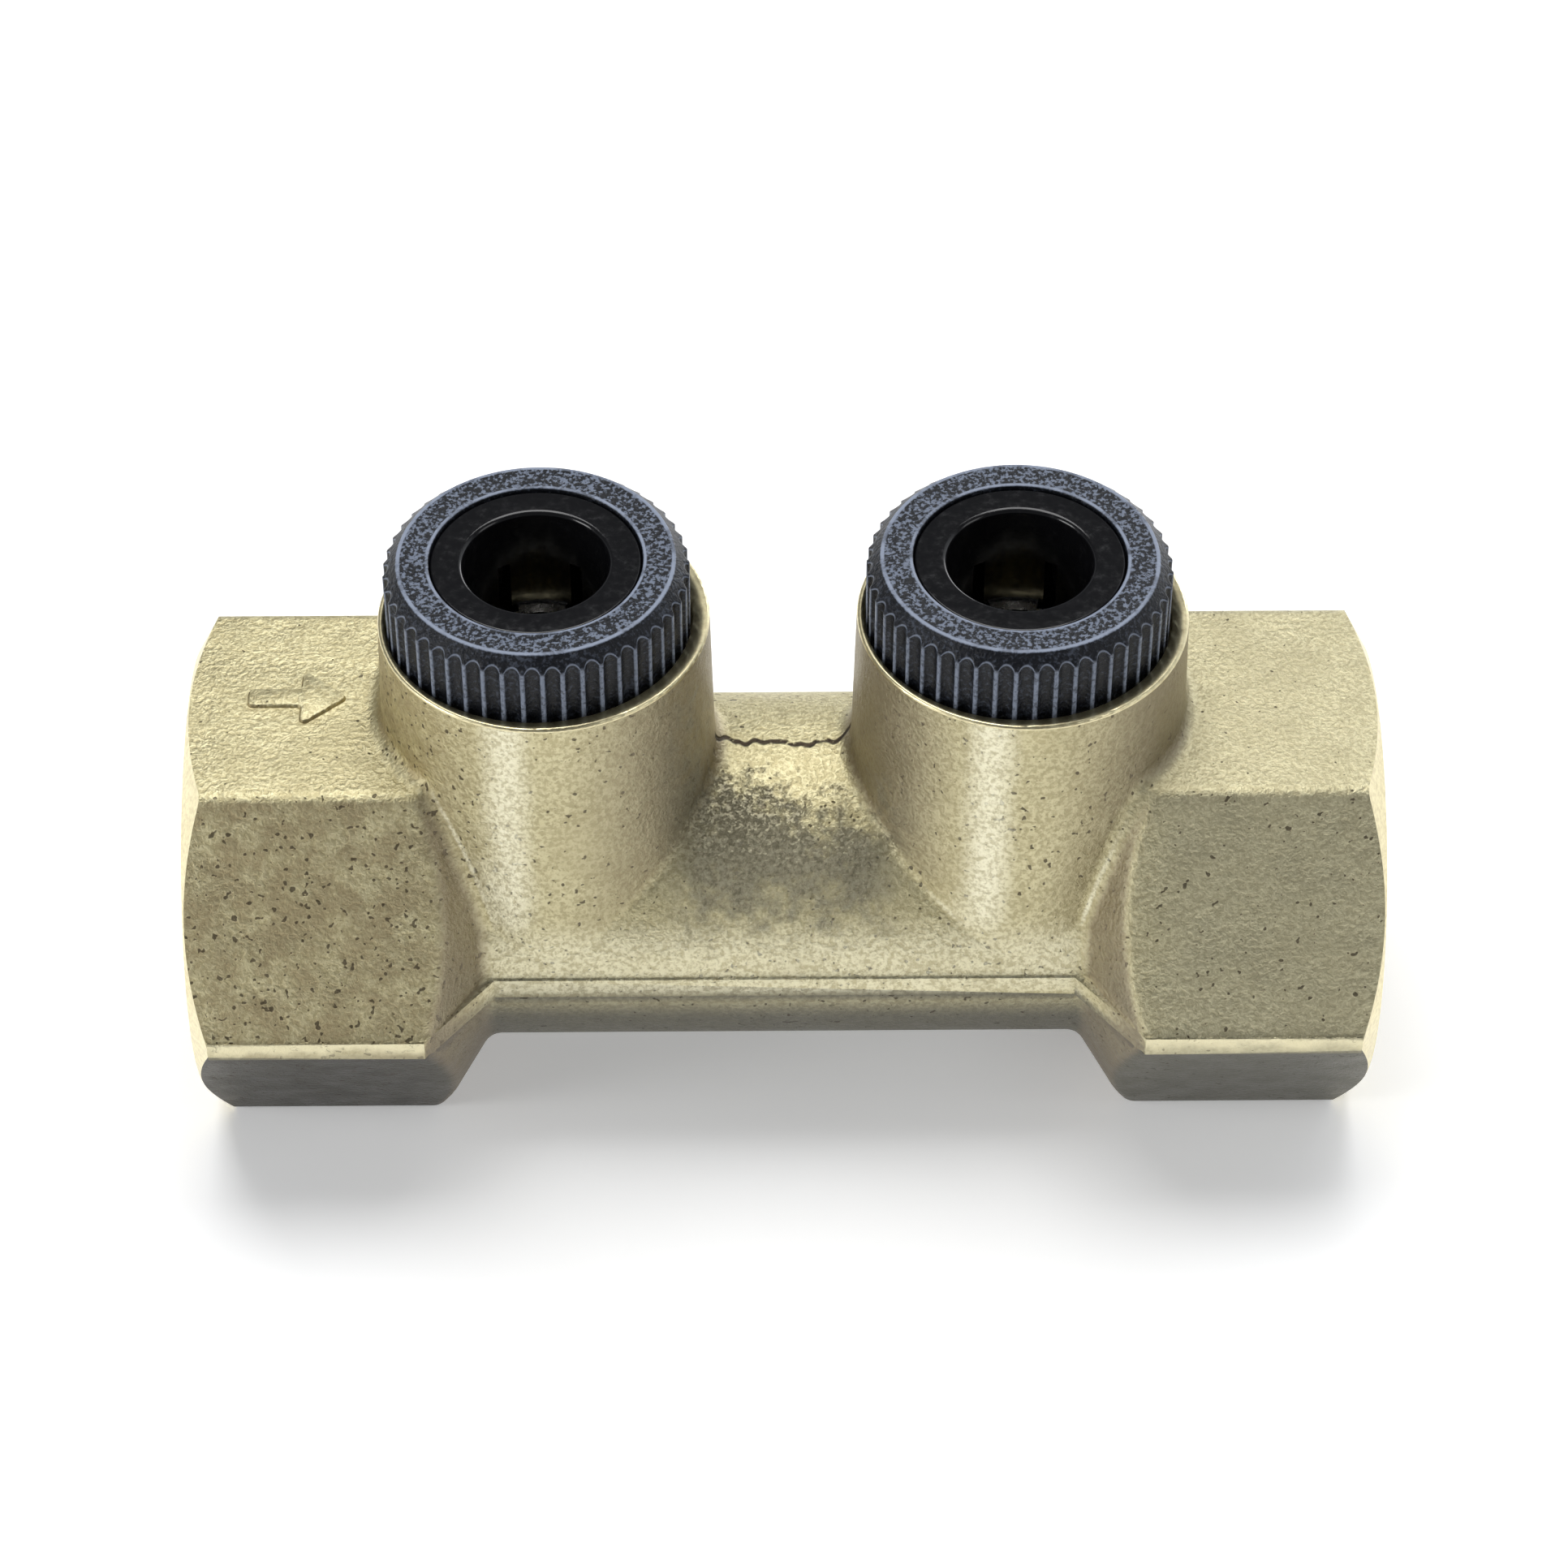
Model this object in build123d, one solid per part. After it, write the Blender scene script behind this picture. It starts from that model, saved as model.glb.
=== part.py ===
from build123d import *
from math import radians, sqrt, tan
import os

# Non-return valve for compressed air, in millimetres. X runs along the flow, from the
# left port to the right port. Z is up, and the valve stands on a flat of its hexagons
# at Z = 0, with the flow axis at AXIS_HEIGHT. Heights named below are counted from the
# flow axis, and each finished piece is lifted to its place at the end.

# Forged body
BODY_LENGTH = 70.0
HEX_ACROSS_FLATS = 27.0
END_CHAMFER_RADIUS = 13.3
END_CHAMFER_ANGLE = 30.0
WAIST_RADIUS = 10.3
WAIST_LENGTH = 35.6
SHOULDER_ANGLE = 58.0
WAIST_FILLET = 1.2
EDGE_ROUND = 1.0
WAIST_FLASH_HEIGHT = 1.4
HEX_FLASH_HEIGHT = 1.3
FLASH_STAND = 0.15
FLASH_END_GAP = 1.2

# Towers that carry the tube ports
TOWER_SPACING = 27.7
TOWER_RIM_RADIUS = 9.6
TOWER_DRAFT = 1.4
TOWER_FOOT_FILLET = 1.0
RIM_ROUND = 0.2

# How far the drill's centres stand off the forged towers' own centres, along the flow
BORE_SHIFT = -0.3

# Female ports in the two ends, M22 x 1.5, drawn at the thread's outer diameter
PORT_RADIUS = 11.0
PORT_DEPTH = 13.0
PORT_MOUTH_CHAMFER = 0.8
DRILL_POINT_ANGLE = 59.0

# Passage through the body, from left to right
INLET_RADIUS = 4.0
SEAT_X = -6.5
SEAT_LIP_HEIGHT = 0.5
SEAT_LIP_WIDTH = 0.5
CHAMBER_RADIUS = 6.2
CHAMBER_LENGTH = 13.5
GUIDE_BORE_RADIUS = 6.8
RING_GROOVE_DEPTH = 0.45
RING_GROOVE_WIDTH = 1.1

# The tube that the ports take
TUBE_RADIUS = 4.0
TUBE_WALL = 1.0
SOCKET_CLEARANCE = 0.1

# Bore of each tower
FLOW_HOLE_RADIUS = 2.2
TUBE_STOP_HEIGHT = 9.0
SOCKET_LENGTH = 2.0
CARTRIDGE_BORE_RADIUS = 7.65
COUNTERBORE_RADIUS = 8.95
COUNTERBORE_DEPTH = 1.3

# Tube support sleeve
SUPPORT_WALL = 0.7
SUPPORT_TUBE_GAP = 0.1
SUPPORT_LENGTH = 7.8
FOOT_RADIUS = 3.6
FOOT_THICKNESS = 0.8

# Tube seal and the ring that backs it
SEAL_SECTION = 2.0
SUPPORT_RING_THICKNESS = 1.4

# Knurled collar, whose skirt is as deep as the tower is high above the support ring
COLLAR_SKIRT_LENGTH = 5.88
COLLAR_STAND = 4.35
KNURL_RADIUS = 8.8
KNURL_TOP_CHAMFER = 0.82
RIB_COUNT = 48
FLUTE_RADIUS = 0.5
FLUTE_DEPTH = 0.3
CONE_MOUTH_RADIUS = 6.75
THROAT_LENGTH = 2.15
COLLAR_SEAL_SECTION = 1.0
COLLAR_SEAL_DROP = 0.35

# Release collet
COLLET_FLANGE_RADIUS = 6.04
COLLET_FLANGE_THICKNESS = 1.5
COLLET_RECESS = 0.2
COLLET_BORE_RADIUS = 4.2
COLLET_STEM_RADIUS = 5.2
COLLET_MOUTH_ROUND = 0.15
COLLET_TRAVEL = 1.5
FINGER_COUNT = 6
FINGER_SLOT_WIDTH = 0.8
FINGER_ROOT_LENGTH = 2.13
TOOTH_THICKNESS = 0.5
TOOTH_BITE = 0.15
TOOTH_DEPTH = 1.0
TOOTH_ANGLE = 40.0
TOOTH_SLOPE = 0.2

# Valve poppet
POPPET_LIFT = 3.0
POPPET_HEAD_RADIUS = 5.2
POPPET_HEAD_THICKNESS = 1.8
POPPET_SEAL_THICKNESS = 1.3
POPPET_STEM_RADIUS = 1.6
POPPET_STEM_OVERHANG = 0.4
STOP_RADIUS = 2.6
FIN_COUNT = 3
FIN_THICKNESS = 1.2
FIN_LENGTH = 4.0
FIN_DEPTH = 1.9
SPIGOT_RADIUS = 1.5
WASHER_RADIUS = 3.2
WASHER_THICKNESS = 0.6
RIVET_RADIUS = 2.1
RIVET_THICKNESS = 0.5

# Closing spring
SPRING_WIRE = 0.8
SPRING_MEAN_RADIUS = 3.35
SPRING_TURNS = 4.5

# Spring guide and its retaining ring
GUIDE_THICKNESS = 2.6
GUIDE_HUB_RADIUS = 2.6
GUIDE_HUB_LENGTH = 1.0
GUIDE_WINDOW_COUNT = 3
GUIDE_WINDOW_INNER = 3.95
GUIDE_WINDOW_OUTER = 5.6
GUIDE_WINDOW_ANGLE = 84.0
RING_THICKNESS = 1.0
RING_WIDTH = 1.4
RING_GAP_ANGLE = 50.0
RING_LUG_RADIUS = 1.15
RING_LUG_HOLE_RADIUS = 0.55

# Clearances
RUNNING = 0.05
SLIDING = 0.08
SEATED = 0.02
END_PLAY = 0.1

# How near a point lies to a surface that it is said to be on
ON_SURFACE = 0.01

# Sizes that follow from the ones above
HALF_LENGTH = BODY_LENGTH / 2
AXIS_HEIGHT = HEX_ACROSS_FLATS / 2
HEX_CORNER_RADIUS = HEX_ACROSS_FLATS / sqrt(3)
FLASH_REACH = HEX_CORNER_RADIUS - HEX_FLASH_HEIGHT / 2 * tan(radians(30)) + FLASH_STAND
CHAMBER_END_X = SEAT_X + CHAMBER_LENGTH
SEAT_LIP_X = SEAT_X + SEAT_LIP_HEIGHT
SOCKET_RADIUS = TUBE_RADIUS + SOCKET_CLEARANCE
GLAND_FLOOR = TUBE_STOP_HEIGHT + SOCKET_LENGTH
GLAND_RADIUS = TUBE_RADIUS + SEAL_SECTION
SUPPORT_FLOOR = GLAND_FLOOR + SEAL_SECTION + 2 * END_PLAY
COLLAR_BOTTOM = SUPPORT_FLOOR + SUPPORT_RING_THICKNESS + SEATED
TOWER_HEIGHT = COLLAR_BOTTOM + COLLAR_SKIRT_LENGTH
COUNTERBORE_FLOOR = TOWER_HEIGHT - COUNTERBORE_DEPTH
COLLAR_TOP = TOWER_HEIGHT + COLLAR_STAND
SKIRT_RADIUS = CARTRIDGE_BORE_RADIUS - RUNNING
COLLET_TOP = COLLAR_TOP - COLLET_RECESS
FLANGE_BOTTOM = COLLET_TOP - COLLET_FLANGE_THICKNESS
FLANGE_SEAT = FLANGE_BOTTOM - COLLET_TRAVEL - END_PLAY
FLANGE_BORE_RADIUS = COLLET_FLANGE_RADIUS + SLIDING
THROAT_RADIUS = COLLET_STEM_RADIUS + SLIDING
CONE_TOP = FLANGE_SEAT - THROAT_LENGTH
COLLET_BOTTOM = COLLAR_BOTTOM + COLLET_TRAVEL + 3 * END_PLAY
FINGER_SLOT_LENGTH = FLANGE_BOTTOM - FINGER_ROOT_LENGTH - COLLET_BOTTOM
GUIDE_END_X = CHAMBER_END_X + GUIDE_THICKNESS
GROOVE_X = GUIDE_END_X + RUNNING
HUB_FACE_X = CHAMBER_END_X - GUIDE_HUB_LENGTH
SEAL_FACE_X = SEAT_LIP_X + SEATED
HEAD_FRONT_X = SEAL_FACE_X + POPPET_SEAL_THICKNESS
HEAD_BACK_X = HEAD_FRONT_X + POPPET_HEAD_THICKNESS
STOP_FACE_X = HUB_FACE_X - POPPET_LIFT - END_PLAY
PORT_SIDES = {"left": -1, "right": 1}


def turned_up(section):
    """A solid turned about Z from its half section, given as (radius, height) points."""
    outline = Plane.XZ * Polyline(*section, close=True)
    return revolve(make_face(outline), Axis.Z, 360)


def turned_along(section):
    """A solid turned about the flow axis from its half section, as (x, radius) points."""
    outline = Plane.XZ * Polyline(*section, close=True)
    return revolve(make_face(outline), Axis.X, 360)


def ring_of(section_radius, mean_radius, height):
    """A round-section ring about Z."""
    section = Plane.XZ * (Pos(mean_radius, height) * Circle(section_radius))
    return revolve(section, Axis.Z, 360)


def at_tower(solid, side):
    """The solid moved from the Z axis to the left or the right forged tower."""
    return Pos(side * TOWER_SPACING / 2, 0, 0) * solid


def at_bore(solid, side):
    """The solid moved from the Z axis to the bore of the left or the right tower."""
    return Pos(BORE_SHIFT, 0, 0) * at_tower(solid, side)


def forged_ends_and_waist():
    """The hexagon bar, cut to the turned outline of chamfers, shoulders and waist."""
    hexagon = RegularPolygon(HEX_CORNER_RADIUS, 6)
    bar = extrude(Plane.YZ.offset(-HALF_LENGTH) * hexagon, BODY_LENGTH)

    # The turned outline passes just outside the hexagon's corners between its cones.
    outer = HEX_CORNER_RADIUS + 1
    shoulder_run = (outer - WAIST_RADIUS) / tan(radians(SHOULDER_ANGLE))
    chamfer_run = (outer - END_CHAMFER_RADIUS) * tan(radians(END_CHAMFER_ANGLE))
    right_half = [
        (WAIST_LENGTH / 2, WAIST_RADIUS),
        (WAIST_LENGTH / 2 + shoulder_run, outer),
        (HALF_LENGTH - chamfer_run, outer),
        (HALF_LENGTH, END_CHAMFER_RADIUS),
        (HALF_LENGTH, 0),
    ]
    left_half = [(-x, radius) for x, radius in reversed(right_half)]
    blank = bar & turned_along(left_half + right_half)
    blank = fillet(shoulder_edges(blank) + flat_edges(blank), EDGE_ROUND)
    roots = [edge for edge in blank.edges().filter_by(GeomType.CIRCLE)
             if abs(abs(edge.center().X) - WAIST_LENGTH / 2) < ON_SURFACE]
    return fillet(roots, WAIST_FILLET)


def shoulder_edges(blank):
    """The wavy edges where the shoulders' cones run out into the flats."""
    edges = []
    for edge in blank.edges().filter_by(GeomType.HYPERBOLA):
        if abs(edge.center().X) < HALF_LENGTH - PORT_DEPTH / 2:
            edges.append(edge)
    return edges


def flat_edges(blank):
    """The straight edges between neighbouring flats of the hexagons."""
    edges = []
    for edge in blank.edges().filter_by(GeomType.LINE):
        middle = edge.center()
        if sqrt(middle.Y ** 2 + middle.Z ** 2) > AXIS_HEIGHT + 1:
            edges.append(edge)
    return edges


def tower():
    """One tower, drawn on the Z axis from the flow axis up, narrowing with its draft."""
    foot_radius = TOWER_RIM_RADIUS + TOWER_HEIGHT * tan(radians(TOWER_DRAFT))
    return Cone(foot_radius, TOWER_RIM_RADIUS, TOWER_HEIGHT,
                align=(Align.CENTER, Align.CENTER, Align.MIN))


def tower_foot_edges(blank):
    """The edges where the towers run into the waist, the shoulders and the flats."""
    edges = []
    for edge in blank.edges():
        point = edge.position_at(0.5)
        offset = sqrt((abs(point.X) - TOWER_SPACING / 2) ** 2 + point.Y ** 2)
        wall = TOWER_RIM_RADIUS + (TOWER_HEIGHT - point.Z) * tan(radians(TOWER_DRAFT))
        on_wall = abs(offset - wall) < ON_SURFACE and edge.geom_type != GeomType.LINE
        if on_wall and WAIST_FLASH_HEIGHT / 2 < point.Z < TOWER_HEIGHT - COUNTERBORE_DEPTH:
            edges.append(edge)
    return edges


def flash_land():
    """The trimmed land that the forging dies leave all round in the plane of the axis."""
    shoulder_run = (HEX_CORNER_RADIUS - WAIST_RADIUS) / tan(radians(SHOULDER_ANGLE))
    root = (WAIST_LENGTH / 2 - WAIST_FILLET / 2, WAIST_RADIUS + FLASH_STAND)
    shoulder = (WAIST_LENGTH / 2 + shoulder_run, FLASH_REACH)
    end = (HALF_LENGTH - FLASH_END_GAP, FLASH_REACH)
    waist_quarter = [root, shoulder, (shoulder[0], 0)]
    hex_quarter = [shoulder, end, (end[0], 0), (shoulder[0], 0)]
    waist_front = [(-x, y) for x, y in reversed(waist_quarter)] + waist_quarter
    land = extrude(make_face(Polyline(*waist_front, close=True)), WAIST_FLASH_HEIGHT / 2, both=True)
    hex_front = extrude(make_face(Polyline(*hex_quarter, close=True)), HEX_FLASH_HEIGHT / 2, both=True)
    land += hex_front
    land += mirror(hex_front, Plane.YZ)
    return land + mirror(land, Plane.XZ)


def flow_passage():
    """Everything that is bored along the flow axis, as one turned solid to cut away."""
    port_floor = HALF_LENGTH - PORT_DEPTH
    left_point = (PORT_RADIUS - INLET_RADIUS) / tan(radians(DRILL_POINT_ANGLE))
    right_point = (PORT_RADIUS - GUIDE_BORE_RADIUS) / tan(radians(DRILL_POINT_ANGLE))
    mouth = PORT_RADIUS + PORT_MOUTH_CHAMFER
    groove_end = GROOVE_X + RING_GROOVE_WIDTH
    return turned_along([
        (-HALF_LENGTH, 0),
        (-HALF_LENGTH, mouth),
        (-HALF_LENGTH + PORT_MOUTH_CHAMFER, PORT_RADIUS),
        (-port_floor, PORT_RADIUS),
        (-port_floor + left_point, INLET_RADIUS),
        (SEAT_LIP_X, INLET_RADIUS),
        (SEAT_LIP_X, INLET_RADIUS + SEAT_LIP_WIDTH),
        (SEAT_X, INLET_RADIUS + 2 * SEAT_LIP_WIDTH),
        (SEAT_X, CHAMBER_RADIUS),
        (CHAMBER_END_X, CHAMBER_RADIUS),
        (CHAMBER_END_X, GUIDE_BORE_RADIUS),
        (GROOVE_X, GUIDE_BORE_RADIUS),
        (GROOVE_X, GUIDE_BORE_RADIUS + RING_GROOVE_DEPTH),
        (groove_end, GUIDE_BORE_RADIUS + RING_GROOVE_DEPTH),
        (groove_end, GUIDE_BORE_RADIUS),
        (port_floor - right_point, GUIDE_BORE_RADIUS),
        (port_floor, PORT_RADIUS),
        (HALF_LENGTH - PORT_MOUTH_CHAMFER, PORT_RADIUS),
        (HALF_LENGTH, mouth),
        (HALF_LENGTH, 0),
    ])


def tower_bore():
    """The stepped bore of one tower: flow hole, sleeve foot, tube socket, gland, collar."""
    foot_floor = TUBE_STOP_HEIGHT - FOOT_THICKNESS
    return turned_up([
        (0, 0),
        (FLOW_HOLE_RADIUS, 0),
        (FLOW_HOLE_RADIUS, foot_floor),
        (FOOT_RADIUS + SEATED, foot_floor),
        (FOOT_RADIUS + SEATED, TUBE_STOP_HEIGHT),
        (SOCKET_RADIUS, TUBE_STOP_HEIGHT),
        (SOCKET_RADIUS, GLAND_FLOOR),
        (GLAND_RADIUS, GLAND_FLOOR),
        (GLAND_RADIUS, SUPPORT_FLOOR),
        (CARTRIDGE_BORE_RADIUS, SUPPORT_FLOOR),
        (CARTRIDGE_BORE_RADIUS, COUNTERBORE_FLOOR),
        (COUNTERBORE_RADIUS, COUNTERBORE_FLOOR),
        (COUNTERBORE_RADIUS, TOWER_HEIGHT),
        (0, TOWER_HEIGHT),
    ])


def valve_body():
    """The forged and machined brass body."""
    blank = forged_ends_and_waist()
    for side in PORT_SIDES.values():
        blank += at_tower(tower(), side)
    blank = fillet(tower_foot_edges(blank), TOWER_FOOT_FILLET)
    rims = blank.edges().filter_by(GeomType.CIRCLE).filter_by(
        lambda edge: abs(edge.center().Z - TOWER_HEIGHT) < ON_SURFACE)
    blank = fillet(rims, RIM_ROUND)
    blank += flash_land()
    # The hexagons' corners in the parting plane are trimmed flat, flush with the land.
    blank &= Box(2 * BODY_LENGTH, 2 * FLASH_REACH, 4 * TOWER_HEIGHT)
    blank -= flow_passage()
    for side in PORT_SIDES.values():
        blank -= at_bore(tower_bore(), side)
    return blank


def knurled_collar():
    """A screwed-in collar: fluted grip above the rim, skirt with a seal groove below it,
    and inside it the collet's flange bore, its throat and the cone that closes the fingers."""
    seal_top = COUNTERBORE_FLOOR - COLLAR_SEAL_DROP
    seal_bottom = seal_top - COLLAR_SEAL_SECTION - 2 * RUNNING
    seal_floor = SKIRT_RADIUS - COLLAR_SEAL_SECTION
    grip_bottom = COUNTERBORE_FLOOR + RUNNING
    collar = turned_up([
        (CONE_MOUTH_RADIUS, COLLAR_BOTTOM),
        (SKIRT_RADIUS, COLLAR_BOTTOM),
        (SKIRT_RADIUS, seal_bottom),
        (seal_floor, seal_bottom),
        (seal_floor, seal_top),
        (SKIRT_RADIUS, seal_top),
        (SKIRT_RADIUS, grip_bottom),
        (KNURL_RADIUS, grip_bottom),
        (KNURL_RADIUS, COLLAR_TOP - KNURL_TOP_CHAMFER),
        (KNURL_RADIUS - KNURL_TOP_CHAMFER, COLLAR_TOP),
        (FLANGE_BORE_RADIUS, COLLAR_TOP),
        (FLANGE_BORE_RADIUS, FLANGE_SEAT),
        (THROAT_RADIUS, FLANGE_SEAT),
        (THROAT_RADIUS, CONE_TOP),
    ])
    flute_centre = KNURL_RADIUS - FLUTE_DEPTH + FLUTE_RADIUS
    flute = Pos(flute_centre, 0, grip_bottom) * Cylinder(
        FLUTE_RADIUS, COLLAR_TOP - grip_bottom, align=(Align.CENTER, Align.CENTER, Align.MIN))
    flutes = [Rot(0, 0, 360 * number / RIB_COUNT) * flute for number in range(RIB_COUNT)]
    return collar - flutes


def collar_seal():
    """A round rubber ring in the groove of the collar's skirt."""
    section = COLLAR_SEAL_SECTION / 2
    height = COUNTERBORE_FLOOR - COLLAR_SEAL_DROP - section - RUNNING
    return ring_of(section - SEATED, SKIRT_RADIUS - section, height)


def collet():
    """The release collet: a flange to press, a stem, and six fingers with wedge heads."""
    # The fingers' heads stay clear of the collar's cone by the sliding clearance.
    cone_slope = (CONE_MOUTH_RADIUS - THROAT_RADIUS) / (CONE_TOP - COLLAR_BOTTOM)
    head_radius = CONE_MOUTH_RADIUS - (COLLET_BOTTOM - COLLAR_BOTTOM) * cone_slope - SLIDING
    groove_height = COLLET_BOTTOM + 2 * TOOTH_THICKNESS
    groove_half = TOOTH_THICKNESS / 2 + SEATED
    groove_floor = COLLET_BORE_RADIUS + TOOTH_DEPTH + SEATED
    body = turned_up([
        (COLLET_BORE_RADIUS, COLLET_BOTTOM),
        (head_radius, COLLET_BOTTOM),
        (COLLET_STEM_RADIUS, CONE_TOP),
        (COLLET_STEM_RADIUS, FLANGE_BOTTOM),
        (COLLET_FLANGE_RADIUS, FLANGE_BOTTOM),
        (COLLET_FLANGE_RADIUS, COLLET_TOP),
        (COLLET_BORE_RADIUS, COLLET_TOP),
    ])
    mouth = body.edges().filter_by(GeomType.CIRCLE).filter_by(
        lambda edge: abs(edge.center().Z - COLLET_TOP) < ON_SURFACE and edge.radius < COLLET_STEM_RADIUS)
    body = fillet(mouth, COLLET_MOUTH_ROUND)
    tooth_groove = turned_up([
        (COLLET_BORE_RADIUS - 1, groove_height - groove_half),
        (groove_floor, groove_height - groove_half),
        (groove_floor, groove_height + groove_half),
        (COLLET_BORE_RADIUS - 1, groove_height + groove_half),
    ])
    slot = Pos(0, 0, COLLET_BOTTOM) * Box(
        HEX_ACROSS_FLATS / 2, FINGER_SLOT_WIDTH, FINGER_SLOT_LENGTH,
        align=(Align.MIN, Align.CENTER, Align.MIN))
    slots = [Rot(0, 0, 360 * number / FINGER_COUNT) * slot for number in range(FINGER_COUNT)]
    return body - tooth_groove - slots


def grip_teeth():
    """Six sharp-edged steel segments, one in each finger, that bite into the tube."""
    height = COLLET_BOTTOM + 2 * TOOTH_THICKNESS
    tip = TUBE_RADIUS - TOOTH_BITE
    root = COLLET_BORE_RADIUS + TOOTH_DEPTH
    half = TOOTH_THICKNESS / 2
    outline = Polyline((tip, height - half), (root, height - half), (root, height + half),
                       (tip + TOOTH_SLOPE, height + half), close=True)
    segment = revolve(make_face(Plane.XZ * outline), Axis.Z, TOOTH_ANGLE)
    middle = 180 / FINGER_COUNT - TOOTH_ANGLE / 2
    teeth = [Rot(0, 0, 360 * number / FINGER_COUNT + middle) * segment
             for number in range(FINGER_COUNT)]
    return Part() + teeth


def support_ring():
    """The washer between the tube seal and the collar, held down by the collar."""
    return turned_up([
        (SOCKET_RADIUS, SUPPORT_FLOOR),
        (SKIRT_RADIUS, SUPPORT_FLOOR),
        (SKIRT_RADIUS, SUPPORT_FLOOR + SUPPORT_RING_THICKNESS),
        (SOCKET_RADIUS, SUPPORT_FLOOR + SUPPORT_RING_THICKNESS),
    ])


def tube_seal():
    """The O-ring in the gland, a little smaller inside than the tube."""
    section = SEAL_SECTION / 2
    return ring_of(section - SEATED, GLAND_RADIUS - section, GLAND_FLOOR + section)


def tube_support():
    """The brass sleeve inside the tube's end, on a foot let into the tube stop."""
    outer = TUBE_RADIUS - TUBE_WALL - SUPPORT_TUBE_GAP
    inner = outer - SUPPORT_WALL
    foot_floor = TUBE_STOP_HEIGHT - FOOT_THICKNESS
    top = foot_floor + SUPPORT_LENGTH
    lead = SUPPORT_WALL / 2
    return turned_up([
        (inner, foot_floor),
        (FOOT_RADIUS, foot_floor),
        (FOOT_RADIUS, TUBE_STOP_HEIGHT),
        (outer, TUBE_STOP_HEIGHT),
        (outer, top - lead),
        (outer - lead, top),
        (inner, top),
    ])


def valve_poppet():
    """The poppet: riveted spigot, head with guide fins, spring boss that stops the lift,
    and the stem that runs in the guide."""
    spigot_end = SEAL_FACE_X - WASHER_THICKNESS
    rivet_end = spigot_end - RIVET_THICKNESS
    stem_end = GUIDE_END_X + POPPET_STEM_OVERHANG
    shaft = turned_along([
        (rivet_end, 0),
        (rivet_end, SPIGOT_RADIUS),
        (spigot_end, RIVET_RADIUS),
        (spigot_end, SPIGOT_RADIUS),
        (HEAD_FRONT_X, SPIGOT_RADIUS),
        (HEAD_FRONT_X, POPPET_HEAD_RADIUS),
        (HEAD_BACK_X, POPPET_HEAD_RADIUS),
        (HEAD_BACK_X, STOP_RADIUS),
        (STOP_FACE_X, STOP_RADIUS),
        (STOP_FACE_X, POPPET_STEM_RADIUS),
        (stem_end, POPPET_STEM_RADIUS),
        (stem_end, 0),
    ])
    tip = CHAMBER_RADIUS - SLIDING
    track = turned_along([
        (HEAD_FRONT_X, tip - FIN_DEPTH),
        (HEAD_FRONT_X, tip),
        (HEAD_FRONT_X + FIN_LENGTH, tip),
        (HEAD_FRONT_X + FIN_LENGTH, tip - FIN_DEPTH),
    ])
    web = Pos(HEAD_FRONT_X, 0, 0) * Box(
        FIN_LENGTH, FIN_THICKNESS, CHAMBER_RADIUS, align=(Align.MIN, Align.CENTER, Align.MIN))
    for number in range(FIN_COUNT):
        shaft += track & (Rot(360 * number / FIN_COUNT, 0, 0) * web)
    return shaft


def poppet_seal():
    """The flat rubber ring that closes on the seat's lip."""
    return turned_along([
        (SEAL_FACE_X, SPIGOT_RADIUS + SEATED),
        (SEAL_FACE_X, POPPET_HEAD_RADIUS),
        (HEAD_FRONT_X, POPPET_HEAD_RADIUS),
        (HEAD_FRONT_X, SPIGOT_RADIUS + SEATED),
    ])


def seal_washer():
    """The steel washer that the spigot's riveted end clamps on the rubber."""
    return turned_along([
        (SEAL_FACE_X - WASHER_THICKNESS, SPIGOT_RADIUS + SEATED),
        (SEAL_FACE_X - WASHER_THICKNESS, WASHER_RADIUS),
        (SEAL_FACE_X, WASHER_RADIUS),
        (SEAL_FACE_X, SPIGOT_RADIUS + SEATED),
    ])


def valve_spring():
    """The closing spring, between the poppet's head and the guide."""
    start = HEAD_BACK_X + SPRING_WIRE / 2 + SEATED
    end = CHAMBER_END_X - SPRING_WIRE / 2 - SEATED
    path = Helix((end - start) / SPRING_TURNS, end - start, SPRING_MEAN_RADIUS)
    section = Plane(path @ 0, z_dir=path % 0) * Circle(SPRING_WIRE / 2)
    return Pos(start, 0, 0) * Rot(0, 90, 0) * sweep(section, path)


def spring_guide():
    """The guide: a disc with three windows for the air and a hub that the stem runs in."""
    bore = POPPET_STEM_RADIUS + RUNNING
    disc = turned_along([
        (HUB_FACE_X, bore),
        (HUB_FACE_X, GUIDE_HUB_RADIUS),
        (CHAMBER_END_X, GUIDE_HUB_RADIUS),
        (CHAMBER_END_X, GUIDE_BORE_RADIUS - RUNNING),
        (GUIDE_END_X, GUIDE_BORE_RADIUS - RUNNING),
        (GUIDE_END_X, bore),
    ])
    section = Polyline((CHAMBER_END_X, GUIDE_WINDOW_INNER), (CHAMBER_END_X, GUIDE_WINDOW_OUTER),
                       (GUIDE_END_X, GUIDE_WINDOW_OUTER), (GUIDE_END_X, GUIDE_WINDOW_INNER), close=True)
    window = revolve(make_face(Plane.XZ * section), Axis.X, GUIDE_WINDOW_ANGLE)
    windows = [Rot(360 * number / GUIDE_WINDOW_COUNT, 0, 0) * window
               for number in range(GUIDE_WINDOW_COUNT)]
    return disc - windows


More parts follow.
